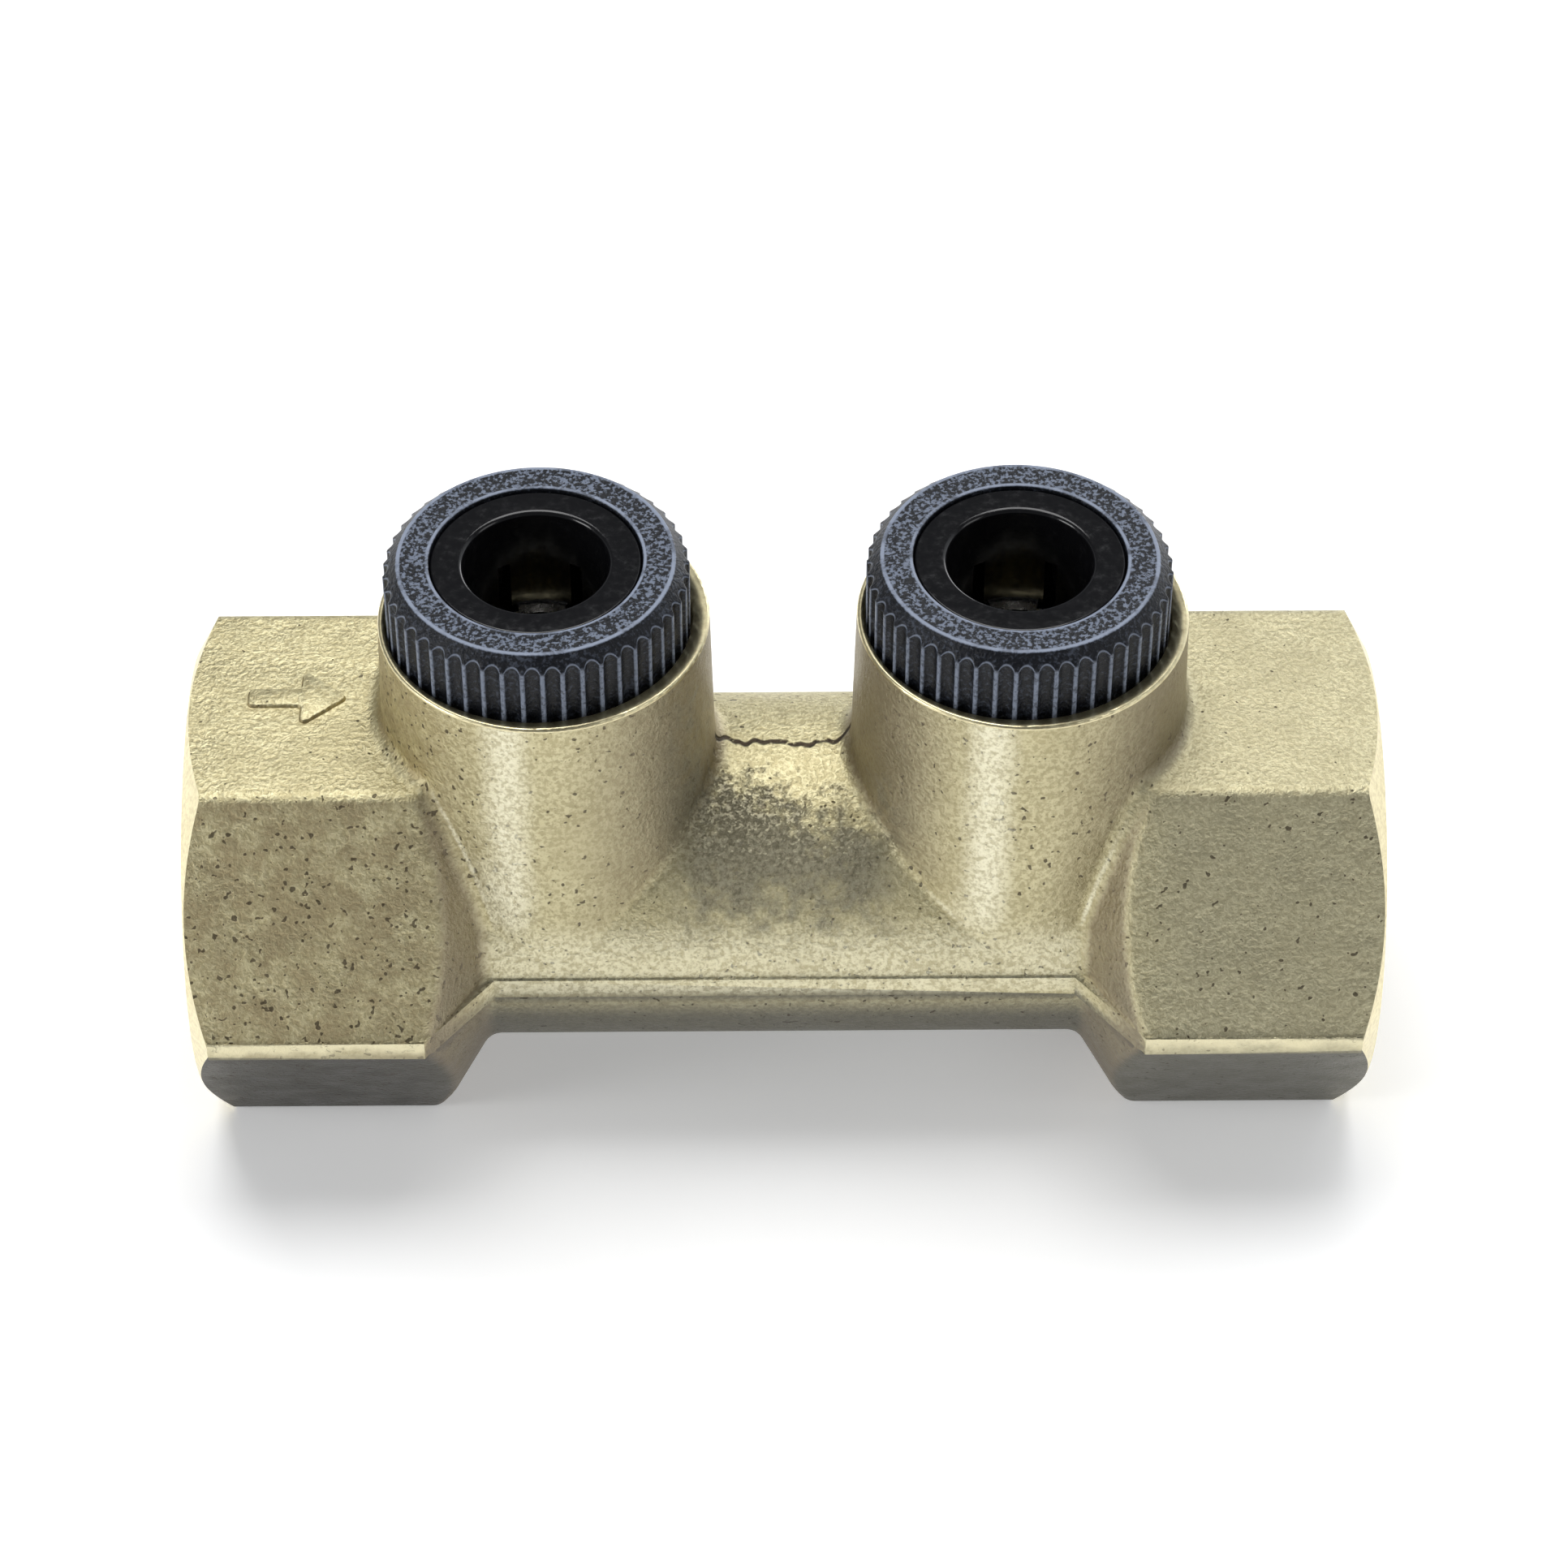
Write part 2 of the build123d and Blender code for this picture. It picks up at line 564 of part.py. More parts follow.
def retaining_ring():
    """The circlip in the groove: an open ring with two lugs for the pliers."""
    outer = GUIDE_BORE_RADIUS + RING_GROOVE_DEPTH - RUNNING
    inner = outer - RING_WIDTH
    half_gap = RING_GAP_ANGLE / 2
    lug_centre = inner + RING_WIDTH / 2 - RING_LUG_RADIUS / 2
    ring = Circle(outer) - Circle(inner)
    gap = make_face(Polyline((0, 0), (2 * outer, 2 * outer * tan(radians(half_gap))),
                             (2 * outer, -2 * outer * tan(radians(half_gap))), close=True))
    ring -= gap
    for end in (-1, 1):
        turn = Rot(0, 0, end * half_gap)
        ring += turn * Pos(lug_centre, 0) * Circle(RING_LUG_RADIUS)
    for end in (-1, 1):
        turn = Rot(0, 0, end * half_gap)
        ring -= turn * Pos(lug_centre, 0) * Circle(RING_LUG_HOLE_RADIUS)
    start = GROOVE_X + (RING_GROOVE_WIDTH - RING_THICKNESS) / 2
    return Pos(start, 0, 0) * Rot(0, 90, 0) * extrude(ring, RING_THICKNESS)


# The pieces of each tube port are made once and set in both towers.
port_pieces = {
    "knurled_collar": knurled_collar(),
    "collar_seal": collar_seal(),
    "collet": collet(),
    "grip_teeth": grip_teeth(),
    "support_ring": support_ring(),
    "tube_seal": tube_seal(),
    "tube_support": tube_support(),
}
nodes = {
    "valve_body": valve_body(),
    "valve_poppet": valve_poppet(),
    "poppet_seal": poppet_seal(),
    "seal_washer": seal_washer(),
    "valve_spring": valve_spring(),
    "spring_guide": spring_guide(),
    "retaining_ring": retaining_ring(),
}
for side_name, side in PORT_SIDES.items():
    for piece_name, piece in port_pieces.items():
        nodes[side_name + "_" + piece_name] = at_bore(piece, side)

os.makedirs("parts", exist_ok=True)
for node_name, solid in nodes.items():
    export_step(Pos(0, 0, AXIS_HEIGHT) * solid, "parts/" + node_name + ".step")
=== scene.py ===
import math

import bmesh
import bpy
import numpy as np
from mathutils import Matrix, Vector


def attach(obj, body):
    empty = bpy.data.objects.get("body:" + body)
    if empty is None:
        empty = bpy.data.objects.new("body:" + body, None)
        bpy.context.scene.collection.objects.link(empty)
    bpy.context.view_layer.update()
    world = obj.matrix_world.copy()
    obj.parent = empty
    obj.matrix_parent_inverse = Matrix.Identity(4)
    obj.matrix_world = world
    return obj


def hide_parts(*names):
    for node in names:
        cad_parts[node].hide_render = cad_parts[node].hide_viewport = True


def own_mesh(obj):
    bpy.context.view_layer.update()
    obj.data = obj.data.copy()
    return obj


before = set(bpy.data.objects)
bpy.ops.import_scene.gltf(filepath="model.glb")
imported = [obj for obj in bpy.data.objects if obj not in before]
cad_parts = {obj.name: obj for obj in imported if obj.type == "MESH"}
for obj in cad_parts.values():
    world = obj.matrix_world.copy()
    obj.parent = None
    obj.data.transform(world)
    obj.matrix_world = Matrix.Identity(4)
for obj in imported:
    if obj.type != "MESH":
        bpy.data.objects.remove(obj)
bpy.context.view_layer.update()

# Forged body. One piece of brass, hot-forged between two dies, tumbled, then bored and
# faced on a lathe. The forged skin is a fine matt grain with dark pits; the bores, the
# rims and the end faces are turned bright, and the flash is trimmed off along its land.
MM = 0.001
AXIS = 13.5
TOWER_X = 13.85
BORE_SHIFT = -0.3
BORE_X = {"left": -TOWER_X + BORE_SHIFT, "right": TOWER_X + BORE_SHIFT}
RIM_HEIGHT = 20.5
RIM_REACH = 10.0
TOWER_BORE_REACH = 9.0
PORT_REACH = 11.9
PASSAGE_REACH = 9.5
END_ZONE = 33.2
CHAMFER_FROM = 13.2
CHAMFER_SLOPE = math.radians(30)
FLASH_HALF = 0.72
FLASH_FROM = 15.0
FORGED_PALE = (0.70, 0.64, 0.40, 1)
FORGED_DULL = (0.50, 0.44, 0.255, 1)
FORGED_BROWN = (0.36, 0.29, 0.165, 1)
FORGED_GREY = (0.36, 0.345, 0.265, 1)
# The next two are painted shade for the skin that faces down.
FORGED_PAINTED_SHADE = (0.09, 0.09, 0.087, 1)
FORGED_PAINTED_DEEP_SHADE = (0.03, 0.03, 0.03, 1)
# The dark crust colour is partly painted shade between the towers.
CRUST_AND_SHADE_DARK = (0.15, 0.14, 0.10, 1)
CRUST_GREY = (0.42, 0.39, 0.285, 1)
PIT_BROWN = (0.06, 0.045, 0.03, 1)
# The next two are painted light: a pale painted highlight, and a brown painted shade for the sides.
PAINTED_HIGHLIGHT_PALE = (0.95, 0.91, 0.70, 1)
PAINTED_SIDE_SHADE = (0.27, 0.225, 0.165, 1)
SHEARED_PALE = (0.80, 0.735, 0.50, 1)
TURNED_BRIGHT = (0.86, 0.78, 0.50, 1)
TURNED_DULL = (0.70, 0.61, 0.37, 1)


def finish_of(name, **uniform):
    """A material of one Principled shader. Values that are the same all over the surface
    are set on the shader's own sockets."""
    material = bpy.data.materials.new(name)
    material.use_nodes = True
    shader = material.node_tree.nodes["Principled BSDF"]
    for socket, value in uniform.items():
        shader.inputs[socket.replace("_", " ")].default_value = value
    return material, material.node_tree, shader


def add(tree, kind, inputs=(), **settings):
    """One node. Its inputs are pairs of socket and value, and a value may be another
    node's output, which is then linked."""
    made = tree.nodes.new(kind)
    for setting, value in settings.items():
        setattr(made, setting, value)
    for socket, value in inputs:
        if isinstance(value, bpy.types.NodeSocket):
            tree.links.new(value, made.inputs[socket])
        else:
            made.inputs[socket].default_value = value
    return made


def millimetres(tree, stretch=(1, 1, 1), centre=(0, 0, 0)):
    """The place on the piece in millimetres from the centre, stretched along each axis."""
    place = add(tree, "ShaderNodeTexCoord").outputs["Object"]
    scale = [1000 * s for s in stretch]
    shift = [-c * s for c, s in zip(centre, stretch)]
    return add(tree, "ShaderNodeMapping", [
        ("Vector", place), ("Scale", scale), ("Location", shift)]).outputs["Vector"]


def noise(tree, place, scale, detail=3.0, roughness=0.55):
    """Cloudy noise from 0 to 1, scale in lumps per millimetre."""
    return add(tree, "ShaderNodeTexNoise", [
        ("Vector", place), ("Scale", scale), ("Detail", detail),
        ("Roughness", roughness)]).outputs["Fac"]


def stepped(tree, value, start, end, low=0.0, high=1.0):
    """The value carried smoothly from low at start to high at end."""
    return add(tree, "ShaderNodeMapRange", [
        ("Value", value), ("From Min", start), ("From Max", end),
        ("To Min", low), ("To Max", high)], interpolation_type="SMOOTHSTEP").outputs["Result"]


def maths(tree, operation, first, second=0.5):
    """Two values joined by one sum."""
    return add(tree, "ShaderNodeMath", [(0, first), (1, second)],
               operation=operation).outputs[0]


def product(tree, *values):
    """All the values multiplied together."""
    whole = values[0]
    for value in values[1:]:
        whole = maths(tree, "MULTIPLY", whole, value)
    return whole


def shares(tree, vector):
    """The three shares X, Y and Z of a vector."""
    return add(tree, "ShaderNodeSeparateXYZ", [("Vector", vector)]).outputs


def facings(tree):
    """The three shares of the direction that the surface faces."""
    return shares(tree, add(tree, "ShaderNodeNewGeometry").outputs["Normal"])


def blended(tree, share, first, second):
    """The first colour where the share is 0 and the second where it is 1."""
    return add(tree, "ShaderNodeMix", [(0, share), (6, first), (7, second)],
               data_type="RGBA").outputs[2]


def raised(tree, height, depth, under=None, strength=1.0):
    """A bump of the given depth in metres, on top of another one."""
    inputs = [("Height", height), ("Distance", depth), ("Strength", strength)]
    if under is not None:
        inputs.append(("Normal", under))
    return add(tree, "ShaderNodeBump", inputs).outputs["Normal"]


def copied(node, name, crease, finish, body):
    """A copy of a CAD node's surface, its loose triangles merged, shaded smooth but for
    the edges that turn by more than the crease in degrees."""
    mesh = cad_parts[node].data.copy()
    mesh.name = name
    work = bmesh.new()
    work.from_mesh(mesh)
    bmesh.ops.remove_doubles(work, verts=work.verts, dist=2e-6)
    bmesh.ops.dissolve_degenerate(work, edges=work.edges, dist=1e-7)
    work.to_mesh(mesh)
    work.free()
    mesh.shade_smooth()
    mesh.set_sharp_from_angle(angle=math.radians(crease))
    mesh.materials.clear()
    mesh.materials.append(finish)
    piece = bpy.data.objects.new(name, mesh)
    bpy.context.scene.collection.objects.link(piece)
    even = piece.modifiers.new("even_normals", "WEIGHTED_NORMAL")
    even.keep_sharp = True
    even.weight = 90
    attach(piece, body)
    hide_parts(node)
    return piece


def numbers(items, name, width=3, kind=float):
    """One property of all the items as an array, with a row for each item that has
    several numbers."""
    values = np.empty(len(items) * width, dtype=kind)
    items.foreach_get(name, values)
    return values.reshape(-1, width) if width > 1 else values


def worked_faces(mesh):
    """For each face, 1 where it was turned or bored and else 0, and 1 where it is the
    trimmed flash land and else 0. A bore's faces point at its own axis, the ends and the
    towers' rims lie in their planes, and the flash land is upright at the axis height."""
    x, y, z = numbers(mesh.polygons, "center").T / MM
    nx, ny, nz = numbers(mesh.polygons, "normal").T
    z = z - AXIS
    from_axis = np.hypot(y, z)
    towards_axis = (ny * y + nz * z) / np.maximum(from_axis, 1e-6) < -0.25
    turned = towards_axis & (from_axis < PORT_REACH)
    turned |= (np.abs(nx) > 0.3) & ((np.abs(x) > END_ZONE) | (from_axis < PASSAGE_REACH))
    for bore_x in BORE_X.values():
        dx = x - bore_x
        from_bore = np.hypot(dx, y)
        towards_bore = (nx * dx + ny * y) / np.maximum(from_bore, 1e-6) < -0.25
        turned |= towards_bore & (from_bore < TOWER_BORE_REACH) & (z > 5)
        turned |= (np.abs(nz) > 0.5) & (from_bore < TOWER_BORE_REACH) & (z > 8)
        turned |= (nz > 0.15) & (from_bore < RIM_REACH) & (z > RIM_HEIGHT - 0.3)
    upright = (np.abs(ny) > 0.98) & (np.abs(z) < FLASH_HALF)
    trimmed = upright & (np.abs(y) > FLASH_FROM) & ~turned
    return turned, trimmed


def forged_skin(tree, place, axes, height):
    """The forged skin's colour: pale grains on a duller ground, browner on the left hexagon, greyer
    on the right one, with painted shade where it faces down, deepest on the left hexagon, and small
    dark pits."""
    clouds = noise(tree, place, 0.16, 5.0, 0.6)
    patches = noise(tree, place, 0.55, 4.0, 0.6)
    skin = blended(tree, stepped(tree, height, 0.40, 0.60), FORGED_DULL, FORGED_PALE)
    skin = blended(tree, stepped(tree, clouds, 0.46, 0.66, 0.0, 0.40), skin, FORGED_DULL)
    facing = facings(tree)["Z"]
    left = stepped(tree, axes["X"], -16.0, -23.0)
    right = stepped(tree, axes["X"], 17.0, 24.0)
    steep = stepped(tree, facing, 0.85, 0.60)
    brown = product(tree, left, steep, stepped(tree, patches, 0.35, 0.62, 0.2, 0.75))
    skin = blended(tree, brown, skin, FORGED_BROWN)
    grey = product(tree, right, stepped(tree, facing, 0.99, 0.60, 0.28, 0.42))
    skin = blended(tree, grey, skin, FORGED_GREY)
    # Painted shade: the skin darkens where it faces down, and darker still on the left hexagon.
    below = stepped(tree, facing, 0.10, -0.35)
    skin = blended(tree, product(tree, below, 0.85), skin, FORGED_PAINTED_SHADE)
    skin = blended(tree, product(tree, below, left, 0.55), skin, FORGED_PAINTED_DEEP_SHADE)
    spots = noise(tree, place, 2.3, 1.0, 0.5)
    flat = stepped(tree, facing, 0.90, 0.97, 0.0, 0.04)
    spots = maths(tree, "ADD", spots, product(tree, left, steep, 0.045))
    pits = stepped(tree, maths(tree, "SUBTRACT", spots, flat), 0.695, 0.735)
    return blended(tree, product(tree, pits, 0.8), skin, PIT_BROWN), pits


def painted_light_and_shade(tree, axes, skin, grain):
    """The skin with painted light: a painted highlight, pale down a streak on the front of each
    tower and along the lower front of the waist, and painted shade, brown on the sides."""
    facing = facings(tree)
    # Painted highlight: a pale streak down the front of each tower and a band along the lower front
    # of the waist, broken up by the grain.
    upright = stepped(tree, maths(tree, "ABSOLUTE", facing["Z"]), 0.42, 0.12)
    streak = maths(tree, "ABSOLUTE", maths(tree, "ADD", facing["X"], 0.22))
    streak = product(tree, stepped(tree, streak, 0.20, 0.02), stepped(tree, facing["Y"], -0.6, -0.9),
                     upright, stepped(tree, axes["Z"], 2.0, 6.0))
    slope = maths(tree, "ARCTAN2", product(tree, axes["Y"], -1.0), axes["Z"])
    lower = product(tree, stepped(tree, slope, 1.05, 1.30), stepped(tree, slope, 1.64, 1.58),
                    stepped(tree, maths(tree, "ABSOLUTE", axes["X"]), 18.5, 16.5))
    painted_highlight = product(tree, maths(tree, "MAXIMUM", streak, product(tree, lower, 0.5)),
                     stepped(tree, grain, 0.36, 0.60, 0.30, 0.88))
    skin = blended(tree, painted_highlight, skin, PAINTED_HIGHLIGHT_PALE)
    # Painted shade: brown on the faces that turn sideways between the hexagons.
    rightward = stepped(tree, facing["X"], 0.0, 0.85)
    leftward = product(tree, stepped(tree, facing["X"], -0.30, -0.85),
                       stepped(tree, axes["X"], 0.0, 3.0))
    sides = product(tree, maths(tree, "MAXIMUM", rightward, leftward),
                    stepped(tree, maths(tree, "ABSOLUTE", axes["X"]), 24.5, 23.0), 0.72)
    return blended(tree, sides, skin, PAINTED_SIDE_SHADE)


def crust_and_painted_shade(tree, place, axes, skin, pits):
    """The waist between the towers: a wrinkled dark crust on the slope that faces the front, partly
    scale that was pressed in and partly painted shade between the towers, and a cracked seam that
    wanders along the crest."""
    slope = maths(tree, "ARCTAN2", product(tree, axes["Y"], -1.0), axes["Z"])
    ragged = maths(tree, "SUBTRACT", noise(tree, place, 0.8, 4.0, 0.6), 0.5)
    slope = maths(tree, "ADD", slope, product(tree, ragged, 1.1))
    sideways = maths(tree, "ABSOLUTE", axes["X"])
    leaning = stepped(tree, axes["X"], -1.5, 2.5, 0.0, 0.22)
    upper = maths(tree, "SUBTRACT", slope, leaning)
    # The crust zone is partly painted shade, where the towers shade the front slope of the waist.
    zone = product(tree, stepped(tree, upper, 0.16, 0.52), stepped(tree, slope, 1.30, 0.82),
                   stepped(tree, sideways, 8.0, 4.5))
    wrinkles = noise(tree, place, 3.3, 6.0, 0.74)
    crust = blended(tree, stepped(tree, wrinkles, 0.34, 0.62), CRUST_AND_SHADE_DARK, CRUST_GREY)
    skin = blended(tree, product(tree, zone, 0.85), skin, crust)
    wander = noise(tree, millimetres(tree, stretch=(1, 0, 0)), 0.36, 2.0, 0.5)
    wander = stepped(tree, wander, 0.3, 0.7, -0.75, 0.55)
    away = maths(tree, "ABSOLUTE", maths(tree, "SUBTRACT", axes["Y"], wander))
    crack = product(tree, stepped(tree, away, 0.27, 0.10), stepped(tree, sideways, 5.3, 4.3),
                    stepped(tree, axes["Z"], 8.5, 9.5), stepped(tree, axes["Z"], 11.6, 10.9),
                    stepped(tree, noise(tree, place, 1.4, 2.0), 0.30, 0.46))
    skin = blended(tree, crack, skin, PIT_BROWN)
    pits = maths(tree, "MAXIMUM", pits, product(tree, zone, stepped(tree, wrinkles, 0.52, 0.42)))
    return skin, maths(tree, "MAXIMUM", pits, crack)


def forged_brass(name, worked):
    """Pale matt brass with a granular skin and dark pits. Where the surface is worked, the
    colour is brighter and the grain is gone."""
    material, tree, shader = finish_of(name, Metallic=0.95)
    place = millimetres(tree, centre=(0, 0, AXIS))
    axes = shares(tree, place)
    grain = noise(tree, place, 3.4, 4.0, 0.62)
    lumps = noise(tree, place, 0.45, 3.0, 0.5)
    skin, pits = forged_skin(tree, place, axes, grain)
    rough = stepped(tree, lumps, 0.3, 0.7, 0.42, 0.52)
    keep = 1.0
    if worked:
        # Painted highlights and side shade, then the crust that is partly painted shade.
        skin = painted_light_and_shade(tree, axes, skin, grain)
        skin, pits = crust_and_painted_shade(tree, place, axes, skin, pits)
        done = add(tree, "ShaderNodeAttribute", attribute_name="turned").outputs["Fac"]
        sheared = add(tree, "ShaderNodeAttribute", attribute_name="trimmed").outputs["Fac"]
        bright = blended(tree, stepped(tree, grain, 0.35, 0.7), TURNED_BRIGHT, TURNED_DULL)
        torn = maths(tree, "ADD", axes["Z"], stepped(tree, lumps, 0.3, 0.7, -0.35, 0.35))
        sheared = product(tree, sheared, stepped(tree, torn, -0.45, 0.40, 0.25, 1.0))
        skin = blended(tree, sheared, skin, SHEARED_PALE)
        skin = blended(tree, done, skin, bright)
        rough = maths(tree, "SUBTRACT", rough, product(tree, done, 0.14))
        keep = maths(tree, "SUBTRACT", 1.0, product(tree, done, 0.99))
    normal = raised(tree, lumps, 0.00016, None, keep)
    normal = raised(tree, grain, 0.00011, normal, keep)
    normal = raised(tree, maths(tree, "SUBTRACT", 1.0, pits), 0.00006, normal, keep)
    tree.links.new(skin, shader.inputs["Base Color"])
    tree.links.new(rough, shader.inputs["Roughness"])
    tree.links.new(normal, shader.inputs["Normal"])
    return material


def true_chamfers(piece):
    """Sets the normals at the piece's corners: the even ones, but on the two end chamfers
    those of a true cone. Their share along the flow axis is the cosine of the chamfer's
    slope, and their share straight away from the axis is its sine."""
    mesh = piece.data
    evaluated = piece.evaluated_get(bpy.context.evaluated_depsgraph_get())
    normal = numbers(evaluated.to_mesh().corner_normals, "vector")
    evaluated.to_mesh_clear()
    x, y, z = numbers(mesh.vertices, "co")[numbers(mesh.loops, "vertex_index", 1, int)].T / MM
    z = z - AXIS
    radius = np.maximum(np.hypot(y, z), 1e-6)
    lean = np.abs(numbers(mesh.polygons, "normal")[:, 0])
    lean = np.repeat(lean, numbers(mesh.polygons, "loop_total", 1, int))
    cone = (lean > 0.3) & (lean < 0.98) & (radius > CHAMFER_FROM) & (np.abs(x) > END_ZONE)
    outwards = math.sin(CHAMFER_SLOPE) / radius
    exact = np.stack([np.sign(x) * math.cos(CHAMFER_SLOPE), y * outwards, z * outwards], axis=1)
    normal[cone] = exact[cone]
    piece.modifiers.clear()
    mesh.normals_split_custom_set(normal)


body_finish = forged_brass("forged_brass", True)
body = copied("valve_body", "forged_body", 28, body_finish, "housing")
for name, mask in zip(("turned", "trimmed"), worked_faces(body.data)):
    body.data.attributes.new(name, "FLOAT", "FACE").data.foreach_set(
        "value", mask.astype(np.float32))
true_chamfers(body)

# Port threads. The fine M22 x 1.5 thread that a tap cuts into each end of the body:
# one ridge of 60 degree flanks that winds in from the mouth and fades out at both ends.
THREAD_ROOT = 11.0
THREAD_CREST = 10.19
THREAD_PITCH = 1.5
THREAD_START = 34.1
THREAD_END = 22.6
THREAD_STEPS = 84
THREAD_FADE = 0.6


def mesh_from(name, x, y, z, around=True, closed=True, capped=False):
    """A mesh from three grids of coordinates in millimetres. Rows run along the piece and
    columns go round it. The columns close on themselves where around is true, the rows
    where closed is true, and where capped is true one face closes each end row."""
    rows, columns = x.shape
    points = np.stack([x, y, z], axis=-1).reshape(-1, 3) * MM
    number = np.arange(rows * columns).reshape(rows, columns)
    if around:
        number = np.concatenate([number, number[:, :1]], axis=1)
    if closed:
        number = np.concatenate([number, number[:1]], axis=0)
    quads = np.stack([number[:-1, :-1], number[:-1, 1:], number[1:, 1:], number[1:, :-1]],
                     axis=-1).reshape(-1, 4)
    faces = quads.tolist()
    if capped:
        faces.append(list(range(columns))[::-1])
        faces.append(list(range((rows - 1) * columns, rows * columns)))
    mesh = bpy.data.meshes.new(name)
    mesh.from_pydata(points, [], faces)
    mesh.update()
    return mesh


def outward(mesh):
    """The same mesh with its doubles merged and every face turned to point outwards."""
    work = bmesh.new()
    work.from_mesh(mesh)
    bmesh.ops.remove_doubles(work, verts=work.verts, dist=1e-7)
    bmesh.ops.recalc_face_normals(work, faces=work.faces)
    work.to_mesh(mesh)
    work.free()
    return mesh


def placed(name, mesh, finish, rider, crease=35, stands_for=()):
    """The finished piece: smooth but for its creases, riding on its body."""
    mesh.shade_smooth()
    mesh.set_sharp_from_angle(angle=math.radians(crease))
    mesh.materials.append(finish)
    piece = bpy.data.objects.new(name, mesh)
    bpy.context.scene.collection.objects.link(piece)
    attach(piece, rider)
    if stands_for:
        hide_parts(*stands_for)
    return piece


def thread_ridge(side):
    """A trapezium carried along a helix round the flow axis: the place along the axis
    grows with the angle by one pitch a turn, and the crest sinks to the root at the ends."""
    turns = (THREAD_START - THREAD_END) / THREAD_PITCH
    angle = np.linspace(0, 2 * math.pi * turns, int(turns * THREAD_STEPS))[:, None]
    done = angle / (2 * math.pi)
    fade = np.clip(np.minimum(done, turns - done) / THREAD_FADE, 0.02, 1)
    offset = np.array([[-0.66, -0.19, 0.19, 0.66, 0.66, -0.66]])
    rise = np.array([[0.0, 1.0, 1.0, 0.0, -0.08, -0.08]])
    radius = THREAD_ROOT - rise * np.where(rise > 0, fade, 1) * (THREAD_ROOT - THREAD_CREST)
    along = THREAD_END + THREAD_PITCH * done + offset
    spin = angle + np.zeros_like(offset)
    return outward(mesh_from(f"{side}_port_thread", math.copysign(1, BORE_X[side]) * along,
                             radius * np.cos(spin), AXIS + radius * np.sin(spin),
                             closed=False, capped=True))


def turned_brass():
    """Bright machined brass with fine lines from the tool and a little dulling."""
    material, tree, shader = finish_of("turned_brass", Metallic=1.0)
    place = millimetres(tree, centre=(0, 0, AXIS))
    dull = noise(tree, place, 1.2, 4.0)
    lines = noise(tree, millimetres(tree, stretch=(14, 1.2, 1.2)), 1.0, 2.0)
    colour = blended(tree, stepped(tree, dull, 0.35, 0.7), TURNED_BRIGHT, TURNED_DULL)
    tree.links.new(colour, shader.inputs["Base Color"])
    tree.links.new(stepped(tree, dull, 0.3, 0.7, 0.22, 0.36), shader.inputs["Roughness"])
    tree.links.new(raised(tree, lines, 0.000012), shader.inputs["Normal"])
    return material


bright_brass = turned_brass()
for side in BORE_X:
    placed(f"{side}_port_thread", thread_ridge(side), bright_brass, "housing")

# Flow arrow. A plain arrow that the die raises on the top flat of the left hexagon. It
# points the way the air may pass.
ARROW_TAIL = -31.5
ARROW_TIP = -25.5
ARROW_HEAD = 2.9
ARROW_HEAD_HALF = 2.5
ARROW_SHAFT_HALF = 0.75
ARROW_MIDDLE = 0.4
ARROW_RISE = 0.22
ARROW_DRAFT = 0.16


def rounded(corners, radius, steps=4, closed=True):
    """A line through the corners, given as pairs, with each corner replaced by an arc of
    the radius. The arc touches both sides, so it starts radius over the tangent of half
    the corner's angle away from the corner. A radius may be given for each corner."""
    corners = np.array(corners, float)
    radii = np.broadcast_to(np.array(radius, float), len(corners))
    line = []
    for number, (corner, size) in enumerate(zip(corners, radii)):
        if size <= 0 or (not closed and number in (0, len(corners) - 1)):
            line.append(corner[None])
            continue
        back = corners[number - 1] - corner
        ahead = corners[(number + 1) % len(corners)] - corner
        back = back / np.hypot(*back)
        ahead = ahead / np.hypot(*ahead)
        half = math.acos(float(np.clip(back @ ahead, -1, 1))) / 2
        middle = (back + ahead) / np.hypot(*(back + ahead))
        centre = corner + middle * size / math.sin(half)
        first = corner + back * size / math.tan(half) - centre
        last = corner + ahead * size / math.tan(half) - centre
        share = np.linspace(0, 1, steps + 1)[:, None]
        sweep = math.acos(float(np.clip(first @ last / size ** 2, -1, 1)))
        arc = first * np.sin((1 - share) * sweep) + last * np.sin(share * sweep)
        line.append(centre + arc / math.sin(sweep))
    return np.concatenate(line)


def flow_arrow():
    """The arrow's outline stacked in layers. Each layer is moved in along the outline's
    own normals as the drafted side leans in, and rounds over at the top."""
    neck = ARROW_TIP - ARROW_HEAD
    outline = rounded([
        (ARROW_TAIL, -ARROW_SHAFT_HALF), (neck, -ARROW_SHAFT_HALF),
        (neck, -ARROW_HEAD_HALF), (ARROW_TIP, 0), (neck, ARROW_HEAD_HALF),
        (neck, ARROW_SHAFT_HALF), (ARROW_TAIL, ARROW_SHAFT_HALF)],
        [0.35, 0.2, 0.35, 0.4, 0.35, 0.2, 0.35])
    step = np.roll(outline, -1, axis=0) - np.roll(outline, 1, axis=0)
    step = step / np.hypot(*step.T)[:, None]
    inward = np.stack([-step[:, 1], step[:, 0]], axis=1)
    layers = np.array([[0.0, -0.3], [0.0, 0.0], [0.35, 0.55], [0.6, 0.85], [1.0, 1.0]])
    x = outline[None, :, 0] + inward[None, :, 0] * layers[:, :1] * ARROW_DRAFT
    y = ARROW_MIDDLE + outline[None, :, 1] + inward[None, :, 1] * layers[:, :1] * ARROW_DRAFT
    z = 2 * AXIS + layers[:, 1:] * ARROW_RISE + np.zeros_like(x)
    return outward(mesh_from("flow_arrow", x, y, z, closed=False, capped=True))


arrow_finish = forged_brass("forged_brass_mark", False)
placed("flow_arrow", flow_arrow(), arrow_finish, "housing", crease=70)

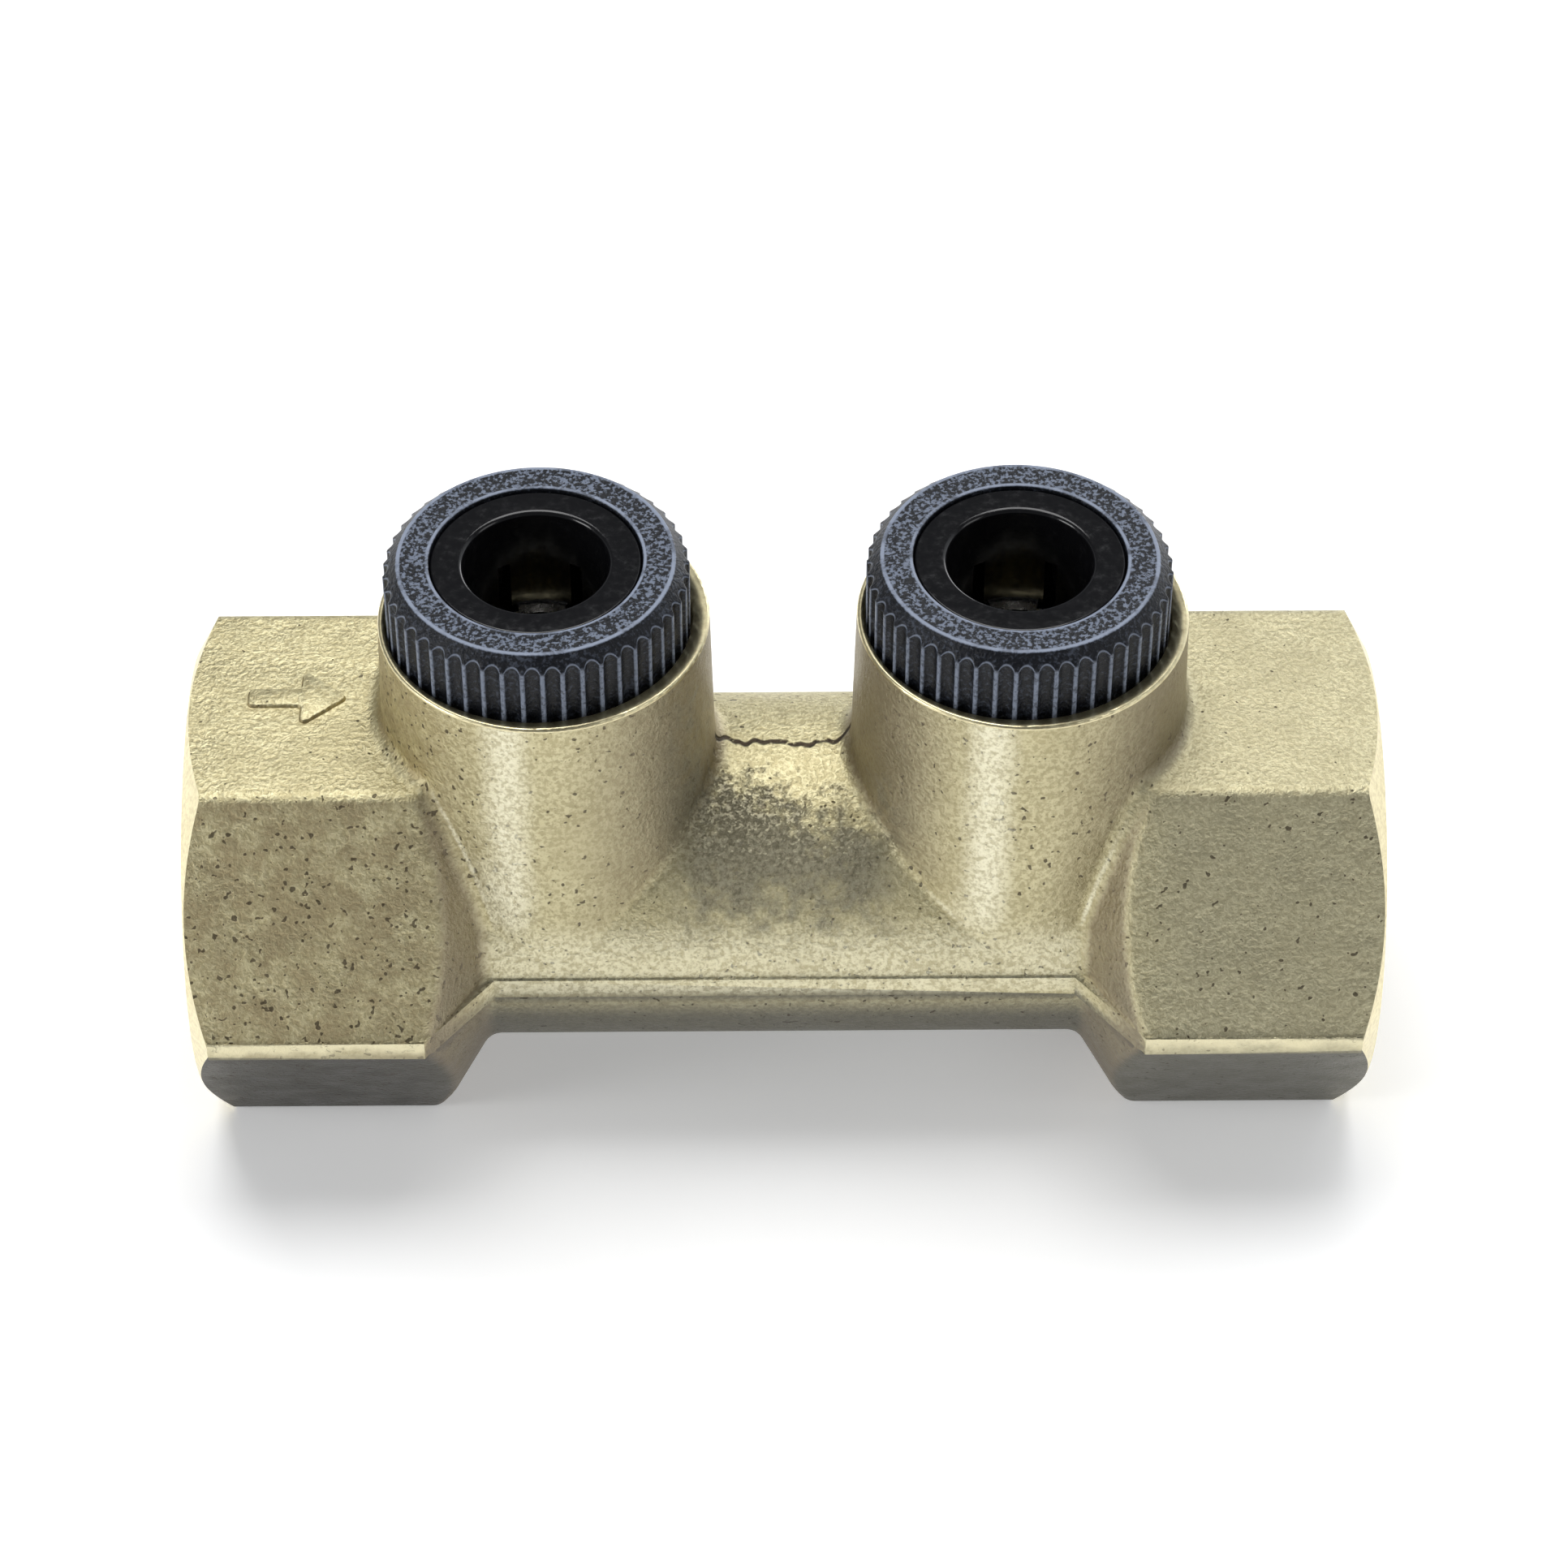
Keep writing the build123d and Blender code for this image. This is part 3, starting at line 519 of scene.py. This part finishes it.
# Valve poppet. Turned from brass bar: a head with three guide fins, a stem that runs in
# the guide, and a spigot whose end is riveted over the washer that clamps the rubber.
RUBBER_BLACK = (0.012, 0.012, 0.013, 1)
RUBBER_BLOOM = (0.045, 0.044, 0.042, 1)
STEEL_BRIGHT = (0.62, 0.61, 0.59, 1)
STEEL_DULL = (0.38, 0.375, 0.37, 1)


def nitrile_rubber():
    """Black moulded rubber with a faint grey bloom and a fine matt grain."""
    material, tree, shader = finish_of("nitrile_rubber", Metallic=0.0, Specular_IOR_Level=0.35)
    place = millimetres(tree)
    bloom = noise(tree, place, 0.9, 4.0)
    colour = blended(tree, stepped(tree, bloom, 0.48, 0.72), RUBBER_BLACK, RUBBER_BLOOM)
    tree.links.new(colour, shader.inputs["Base Color"])
    tree.links.new(stepped(tree, bloom, 0.3, 0.7, 0.45, 0.65), shader.inputs["Roughness"])
    tree.links.new(raised(tree, noise(tree, place, 9.0), 0.000015), shader.inputs["Normal"])
    return material


def stainless_steel():
    """Drawn or stamped stainless steel with faint lines and duller clouds."""
    material, tree, shader = finish_of("stainless_steel", Metallic=1.0)
    place = millimetres(tree)
    dull = noise(tree, place, 1.6, 4.0)
    lines = noise(tree, millimetres(tree, stretch=(1, 1, 16)), 1.0, 2.0)
    colour = blended(tree, stepped(tree, dull, 0.4, 0.7), STEEL_BRIGHT, STEEL_DULL)
    tree.links.new(colour, shader.inputs["Base Color"])
    tree.links.new(stepped(tree, dull, 0.3, 0.7, 0.20, 0.34), shader.inputs["Roughness"])
    tree.links.new(raised(tree, lines, 0.000008), shader.inputs["Normal"])
    return material


black_rubber = nitrile_rubber()
bright_steel = stainless_steel()
copied("valve_poppet", "turned_poppet", 30, bright_brass, "poppet")
copied("poppet_seal", "moulded_poppet_seal", 40, black_rubber, "poppet")
copied("seal_washer", "stamped_seal_washer", 40, bright_steel, "poppet")

# Closing spring. Stainless wire wound open in the middle, with one dead turn at each end
# that is ground flat, so it stands square between the poppet's head and the guide.
WIRE_RADIUS = 0.4
SPRING_RADIUS = 3.35
SPRING_FROM = -2.86
SPRING_TO = 6.98
DEAD_TURNS = 1.0
LIVE_TURNS = 3.6
GROUND_DEPTH = 0.25


def closing_spring():
    """A circle carried along a helix round the flow axis. The pitch is the wire's own
    thickness in the dead turns and wider between them, and the ends are cut off flat."""
    turns = 2 * DEAD_TURNS + LIVE_TURNS
    share = np.linspace(0, 1, int(turns * 56))
    done = share * turns
    pitch = np.where((done < DEAD_TURNS) | (done > turns - DEAD_TURNS), 0.0, 1.0)
    ease = np.convolve(np.pad(pitch, 15, mode="edge"), np.ones(31) / 31, mode="valid")
    dead = 2 * WIRE_RADIUS
    low = SPRING_FROM + WIRE_RADIUS - GROUND_DEPTH
    high = SPRING_TO - WIRE_RADIUS + GROUND_DEPTH
    climb = np.concatenate([[0], np.cumsum(ease[1:])])
    fixed = dead * done
    along = low + fixed + climb / climb[-1] * (high - low - fixed[-1])
    angle = (2 * math.pi * done)[:, None]
    spin = np.linspace(0, 2 * math.pi, 15)[None, :-1]
    radius = SPRING_RADIUS + WIRE_RADIUS * np.cos(spin)
    x = np.clip(along[:, None] + WIRE_RADIUS * np.sin(spin), SPRING_FROM, SPRING_TO)
    return outward(mesh_from("closing_spring", x, radius * np.cos(angle),
                             AXIS + radius * np.sin(angle), closed=False, capped=True))


spring = placed("closing_spring", closing_spring(), bright_steel, "housing",
                crease=50, stands_for=["valve_spring"])
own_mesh(spring)

# Spring guide and retaining ring. The guide is a drilled brass disc that slides into the
# right-hand port, and the ring is an open spring-steel circlip with two lugs for pliers.
copied("spring_guide", "turned_spring_guide", 30, bright_brass, "housing")
copied("retaining_ring", "stamped_retaining_ring", 35, bright_steel, "housing")

# Tube supports, tube seals and the rings above them. A thin brass sleeve stands inside
# the tube's end, a rubber ring seals round it, and a moulded ring holds the rubber down.
ACETAL_WHITE = (0.72, 0.71, 0.67, 1)
ACETAL_SHADE = (0.60, 0.59, 0.55, 1)


def natural_acetal():
    """Milky moulded plastic, a little uneven."""
    material, tree, shader = finish_of("natural_acetal", Metallic=0.0)
    place = millimetres(tree)
    cloud = noise(tree, place, 0.8, 3.0)
    colour = blended(tree, stepped(tree, cloud, 0.35, 0.7), ACETAL_WHITE, ACETAL_SHADE)
    tree.links.new(colour, shader.inputs["Base Color"])
    tree.links.new(stepped(tree, cloud, 0.3, 0.7, 0.30, 0.42), shader.inputs["Roughness"])
    tree.links.new(raised(tree, noise(tree, place, 7.0), 0.000008), shader.inputs["Normal"])
    return material


milky_plastic = natural_acetal()
for side in BORE_X:
    copied(f"{side}_tube_support", f"{side}_support_sleeve", 30, bright_brass, "housing")
    copied(f"{side}_tube_seal", f"{side}_moulded_tube_seal", 50, black_rubber, "housing")
    copied(f"{side}_support_ring", f"{side}_moulded_support_ring", 40, milky_plastic,
           "housing")

# Release collets. Each is moulded in hard glossy black plastic: a flange that the thumb
# presses, a short stem, and six fingers with thick ends that spring in on the tube.
COLLET_TOP = 24.65
COLLET_BORE = 4.2
COLLET_FLANGE = 6.04
COLLET_FLANGE_BOTTOM = 23.15
COLLET_STEM = 5.2
COLLET_BOTTOM = 16.42
FINGER_TOP = 21.02
FINGER_HEAD = 6.14
CONE_TOP = 19.4
SLOT_HALF = 0.4
TOOTH_GROOVE = (17.15, 17.69, 5.22)
FINGERS = 6
GLOSS_BLACK = (0.006, 0.006, 0.007, 1)
GLOSS_SCUFF = (0.016, 0.016, 0.018, 1)


def spun(name, profile, columns, at_x, carve=None):
    """A profile of radius and height turned right round an upright axis. Where carve is
    given, it maps the grids of radius and angle to the carved radius."""
    angle = np.linspace(0, 2 * math.pi, columns, endpoint=False)[None, :]
    radius = profile[:, :1] + np.zeros_like(angle)
    if carve is not None:
        radius = carve(radius, angle)
    x = at_x + radius * np.cos(angle)
    z = AXIS + profile[:, 1:] + np.zeros_like(radius)
    return outward(mesh_from(name, x, radius * np.sin(angle), z))


def finger(number, at_x):
    """One collet finger: its half section carried round from slot to slot. At each radius
    the angle stops short by the arc sine of half the slot's width over that radius."""
    low, high, floor = TOOTH_GROOVE
    section = rounded([
        (COLLET_BORE, COLLET_BOTTOM), (FINGER_HEAD, COLLET_BOTTOM), (COLLET_STEM, CONE_TOP),
        (COLLET_STEM, FINGER_TOP + 0.05), (COLLET_BORE, FINGER_TOP + 0.05), (COLLET_BORE, high),
        (floor, high), (floor, low), (COLLET_BORE, low)],
        [0.15, 0.25, 0.3, 0, 0, 0.04, 0.04, 0.04, 0.04])
    reach = math.pi / FINGERS - np.arcsin(SLOT_HALF / section[:, 0])
    share = np.linspace(-1, 1, 13)[:, None]
    angle = (number + 0.5) * 2 * math.pi / FINGERS + share * reach[None, :]
    radius = section[None, :, 0]
    return outward(mesh_from("finger", at_x + radius * np.cos(angle), radius * np.sin(angle),
                             AXIS + section[None, :, 1] + np.zeros_like(angle),
                             closed=False, capped=True))


def joined(name, meshes):
    """One mesh of several."""
    work = bmesh.new()
    for mesh in meshes:
        work.from_mesh(mesh)
        bpy.data.meshes.remove(mesh)
    whole = bpy.data.meshes.new(name)
    work.to_mesh(whole)
    work.free()
    return whole


def release_collet(side):
    """The collet's flange and stem, spun, with the six fingers below them."""
    at_x = BORE_X[side]
    ring = rounded([
        (COLLET_BORE, FINGER_TOP), (COLLET_STEM, FINGER_TOP), (COLLET_STEM, COLLET_FLANGE_BOTTOM),
        (COLLET_FLANGE, COLLET_FLANGE_BOTTOM), (COLLET_FLANGE, COLLET_TOP),
        (COLLET_BORE, COLLET_TOP)], [0, 0, 0.15, 0.1, 0.14, 0.3], steps=9)
    parts = [spun("ring", ring, 144, at_x)]
    parts += [finger(number, at_x) for number in range(FINGERS)]
    return joined(f"{side}_release_collet", parts)


def black_acetal():
    """Glossy black plastic with a faint orange-peel skin and light scuffs."""
    material, tree, shader = finish_of("black_acetal", Metallic=0.0, Specular_IOR_Level=0.4)
    place = millimetres(tree)
    scuff = noise(tree, place, 1.7, 5.0, 0.7)
    colour = blended(tree, stepped(tree, scuff, 0.55, 0.75), GLOSS_BLACK, GLOSS_SCUFF)
    tree.links.new(colour, shader.inputs["Base Color"])
    tree.links.new(stepped(tree, scuff, 0.35, 0.75, 0.12, 0.26), shader.inputs["Roughness"])
    tree.links.new(raised(tree, noise(tree, place, 1.3), 0.00001), shader.inputs["Normal"])
    return material


gloss_black = black_acetal()
for side in BORE_X:
    placed(f"{side}_release_collet", release_collet(side), gloss_black, f"{side}_release",
           crease=40, stands_for=[f"{side}_collet"])

# Grip teeth. Six little wedges of hard stainless steel, one pressed into the groove of
# each finger, whose sharp edges bite into the tube.
for side in BORE_X:
    copied(f"{side}_grip_teeth", f"{side}_stamped_teeth", 30, bright_steel,
           f"{side}_release")

# Knurled collars and their dirt seals. A collar of black glass-filled plastic screws into
# the tower. Its grip has 48 round-bottomed flutes that run out into a turned-down edge,
# and a rubber ring sits in the groove of its skirt.
COLLAR_BOTTOM = 14.62
COLLAR_TOP = 24.85
COLLAR_SKIRT = 7.6
SEAL_GROOVE = (17.75, 18.85, 6.6)
GRIP_BOTTOM = 19.25
GRIP_RADIUS = 8.8
GRIP_CHAMFER = 0.82
FLANGE_BORE = 6.12
FLANGE_SEAT = 21.55
THROAT = 5.28
CONE_MOUTH = 6.75
FLUTES = 48
FLUTE_RADIUS = 0.5
FLUTE_CENTRE = 9.0
RIB_SOFTNESS = 0.07
FACE_OUTER = 7.9
FACE_INNER = 6.24
NYLON_BLACK = (0.006, 0.007, 0.010, 1)
NYLON_GREY = (0.17, 0.20, 0.265, 1)
# Painted highlight colour for the edges of the face and the ribs.
NYLON_PAINTED_HIGHLIGHT = (0.27, 0.31, 0.40, 1)


def fluted(radius, angle):
    """The smaller of the plain radius and the nearer side of the flute's circle, seen from
    the collar's axis, with the edge between them rounded: half the sum less half the root
    of the squared difference and the squared softness."""
    pitch = 2 * math.pi / FLUTES
    turn = (angle + pitch / 2) % pitch - pitch / 2
    inside = FLUTE_RADIUS ** 2 - (FLUTE_CENTRE * np.sin(turn)) ** 2
    flute = FLUTE_CENTRE * np.cos(turn) - np.sqrt(np.maximum(inside, 0))
    flute = np.where(inside > 0, flute, FLUTE_CENTRE) + np.zeros_like(radius)
    gap = np.sqrt((radius - flute) ** 2 + RIB_SOFTNESS ** 2)
    return np.where(radius > 7.7, (radius + flute - gap) / 2, radius)


def knurled_collar(side):
    """The collar's closed half section, spun, with the flutes pressed into its grip. The
    section has a row every 0.07 mm where the flutes run out."""
    low, high, floor = SEAL_GROOVE
    shoulder = COLLAR_TOP - GRIP_CHAMFER
    run_out = [(GRIP_RADIUS - drop, shoulder + drop)
               for drop in np.linspace(0, GRIP_CHAMFER, 13)]
    corners = [
        (CONE_MOUTH, COLLAR_BOTTOM), (COLLAR_SKIRT, COLLAR_BOTTOM), (COLLAR_SKIRT, low),
        (floor, low), (floor, high), (COLLAR_SKIRT, high), (COLLAR_SKIRT, GRIP_BOTTOM),
        (GRIP_RADIUS - 0.1, GRIP_BOTTOM), (GRIP_RADIUS, GRIP_BOTTOM + 0.1),
        (GRIP_RADIUS, 21.0), (GRIP_RADIUS, 22.8), (GRIP_RADIUS, shoulder - 0.35),
        (GRIP_RADIUS, shoulder - 0.15), *run_out[:-1]]
    top = rounded([run_out[-2], run_out[-1], (FLANGE_BORE, COLLAR_TOP),
                   (FLANGE_BORE, FLANGE_SEAT)], [0, 0.09, 0.16, 0], steps=5, closed=False)
    lower = [(THROAT, FLANGE_SEAT), (THROAT, CONE_TOP)]
    profile = np.concatenate([np.array(corners), top[1:], np.array(lower)])
    return spun(f"{side}_fluted_collar", profile, FLUTES * 16, BORE_X[side], fluted)


def highlight_ring(tree, radius, at_radius, half):
    """A painted highlight line: 1 along the ring at a radius, fading to 0 at half a line's width
    from it.
    """
    away = maths(tree, "ABSOLUTE", maths(tree, "SUBTRACT", radius, at_radius))
    return stepped(tree, away, half, half - 0.1)


def rib_highlight_mask(tree, radius, height, grains):
    """The mask of painted highlights: 1 on the crests of the ribs, and along the arch where each
    flute runs out into the turned-down edge. That edge is a cone, and a flute lies a little below
    it."""
    rim = COLLAR_TOP - GRIP_CHAMFER
    crest = product(tree, stepped(tree, radius, GRIP_RADIUS - 0.09, GRIP_RADIUS - 0.02),
                    stepped(tree, height, rim + 0.1, rim - 0.2),
                    stepped(tree, grains, 0.30, 0.55, 0.35, 1.0))
    below = maths(tree, "SUBTRACT", GRIP_RADIUS + rim, maths(tree, "ADD", radius, height))
    arch = product(tree, stepped(tree, below, 0.02, 0.06), stepped(tree, below, 0.17, 0.09),
                   stepped(tree, height, rim - 0.15, rim + 0.02), 0.8)
    return maths(tree, "MAXIMUM", crest, arch)


def glass_filled_nylon():
    """Black plastic whose glass fibres lie bare as blue-grey grains all over the top face, with
    painted highlights in a paler blue-grey along the crests of the ribs, the arches where the flutes
    run out, and the edges of the face."""
    material, tree, shader = finish_of("black_nylon", Metallic=0.0, Specular_IOR_Level=0.25)
    place = millimetres(tree, centre=(BORE_SHIFT, 0, AXIS))
    axes = shares(tree, place)
    across = maths(tree, "SUBTRACT", maths(tree, "ABSOLUTE", axes["X"]), TOWER_X)
    radius = maths(tree, "SQRT", maths(tree, "ADD", product(tree, across, across),
                                       product(tree, axes["Y"], axes["Y"])))
    grains = noise(tree, place, 4.4, 3.0, 0.6)
    patch = noise(tree, place, 0.5, 3.0)
    face = stepped(tree, axes["Z"], COLLAR_TOP - 0.08, COLLAR_TOP - 0.02)
    # Painted highlights: pale lines round the edges of the top face and along the crests and run-out
    # arches of the ribs.
    edges = maths(tree, "MAXIMUM", highlight_ring(tree, radius, FACE_OUTER, 0.16),
                  highlight_ring(tree, radius, FACE_INNER, 0.15))
    edges = product(tree, edges, face, stepped(tree, patch, 0.35, 0.55, 0.35, 1.0))
    ribs = product(tree, rib_highlight_mask(tree, radius, axes["Z"], grains), 0.75)
    specks = product(tree, face, stepped(tree, grains, 0.47, 0.60))
    faint = maths(tree, "ADD", grains, product(tree, patch, 0.4))
    faint = stepped(tree, faint, 0.70, 0.90, 0.0, 0.22)
    colour = blended(tree, maths(tree, "MAXIMUM", specks, faint), NYLON_BLACK, NYLON_GREY)
    colour = blended(tree, maths(tree, "MAXIMUM", edges, ribs), colour, NYLON_PAINTED_HIGHLIGHT)
    tree.links.new(colour, shader.inputs["Base Color"])
    tree.links.new(stepped(tree, patch, 0.3, 0.7, 0.30, 0.40), shader.inputs["Roughness"])
    tree.links.new(raised(tree, grains, 0.00009), shader.inputs["Normal"])
    return material


granular_black = glass_filled_nylon()
for side in BORE_X:
    copied(f"{side}_collar_seal", f"{side}_moulded_collar_seal", 50, black_rubber, "housing")
    placed(f"{side}_fluted_collar", knurled_collar(side), granular_black, "housing",
           crease=32, stands_for=[f"{side}_knurled_collar"])

# Studio. A plain white floor with a faint glow of its own, in a dark room with a pale
# window low behind on the right. One large soft lamp hangs above and a little behind, and
# small ones fill in the left, the right and the rims of the tube ports.
FLOOR_HALF = 3.0
FLOOR_DROP = 0.00005
FLOOR_WHITE = (0.96, 0.96, 0.96, 1)
FLOOR_GLOW = 0.28
ROOM_DARK = 0.12
ROOM_LOW = 0.35
WINDOW_STRENGTH = 0.75
WINDOW_TOWARDS = (0.68, 0.68, 0.27)
SKY_PALE = (0.92, 0.96, 1.0, 1)
LAMP_TARGET = Vector((0, 0, 0.015))

corner = np.array([-1, 1]) * FLOOR_HALF
floor_x, floor_y = np.meshgrid(corner, corner)
floor_mesh = bpy.data.meshes.new("floor")
floor_mesh.from_pydata(np.stack([floor_x.ravel(), floor_y.ravel(),
                                 np.full(4, -FLOOR_DROP)], axis=1), [], [(0, 1, 3, 2)])
floor_finish = finish_of(
    "floor_white", Base_Color=FLOOR_WHITE, Roughness=0.9, Specular_IOR_Level=0.0,
    Emission_Color=FLOOR_WHITE, Emission_Strength=FLOOR_GLOW)
floor_mesh.materials.append(floor_finish[0])
floor = bpy.data.objects.new("floor", floor_mesh)
bpy.context.scene.collection.objects.link(floor)

sky = bpy.data.worlds.new("sky")
bpy.context.scene.world = sky
sky.use_nodes = True
sky_tree = sky.node_tree
looking = add(sky_tree, "ShaderNodeTexCoord").outputs["Generated"]
window = add(sky_tree, "ShaderNodeVectorMath", [
    (0, looking), (1, WINDOW_TOWARDS)], operation="DOT_PRODUCT").outputs["Value"]
window = stepped(sky_tree, window, 0.80, 0.95, 0.0, WINDOW_STRENGTH)
low = stepped(sky_tree, shares(sky_tree, looking)["Z"], 0.40, 0.0, ROOM_DARK, ROOM_LOW)
sky_tree.links.new(maths(sky_tree, "ADD", low, window),
                   sky_tree.nodes["Background"].inputs["Strength"])
sky_tree.nodes["Background"].inputs["Color"].default_value = SKY_PALE


def lamp(name, place, size, power):
    """A square soft lamp at a place, aimed at the middle of the valve."""
    light = bpy.data.lights.new(name, "AREA")
    light.shape = "SQUARE"
    light.size = size
    light.energy = power
    made = bpy.data.objects.new(name, light)
    made.location = place
    made.rotation_euler = (LAMP_TARGET - Vector(place)).to_track_quat("-Z", "Y").to_euler()
    bpy.context.scene.collection.objects.link(made)


lamp("lamp_above", (-0.04, 0.21, 0.79), 0.55, 5.4)
lamp("lamp_left", (-0.68, -0.25, 0.30), 0.30, 2.0)
lamp("lamp_right", (0.70, -0.20, 0.40), 0.35, 0.8)
lamp("lamp_edge", (0.24, 0.46, 0.10), 0.22, 0.45)

# Camera. It looks down on the front of the valve from as far off and as high as the
# photograph was taken.
CAMERA_HEIGHT_ANGLE = 44.822
CAMERA_SIDE_ANGLE = -0.586
CAMERA_ROLL = 0.081
CAMERA_DISTANCE = 0.285391
CAMERA_TARGET = (0.000053, 0.0, 0.020125)
CAMERA_LENS = 109.517

rise = math.radians(CAMERA_HEIGHT_ANGLE)
turn = math.radians(CAMERA_SIDE_ANGLE)
roll = math.radians(CAMERA_ROLL)
back = Vector((math.sin(turn) * math.cos(rise), -math.cos(turn) * math.cos(rise),
               math.sin(rise)))
across = Vector((math.cos(turn), math.sin(turn), 0))
upright = back.cross(across)
right = across * math.cos(roll) + upright * math.sin(roll)
up = upright * math.cos(roll) - across * math.sin(roll)
lens = bpy.data.cameras.new("camera")
lens.lens = CAMERA_LENS
lens.sensor_width = 36
lens.clip_start = 0.01
lens.clip_end = 20
camera = bpy.data.objects.new("camera", lens)
place = Vector(CAMERA_TARGET) + back * CAMERA_DISTANCE
camera.matrix_world = Matrix.Translation(place) @ Matrix((right, up, back)).transposed().to_4x4()
bpy.context.scene.collection.objects.link(camera)
bpy.context.scene.camera = camera
bpy.context.scene.view_settings.view_transform = "Standard"
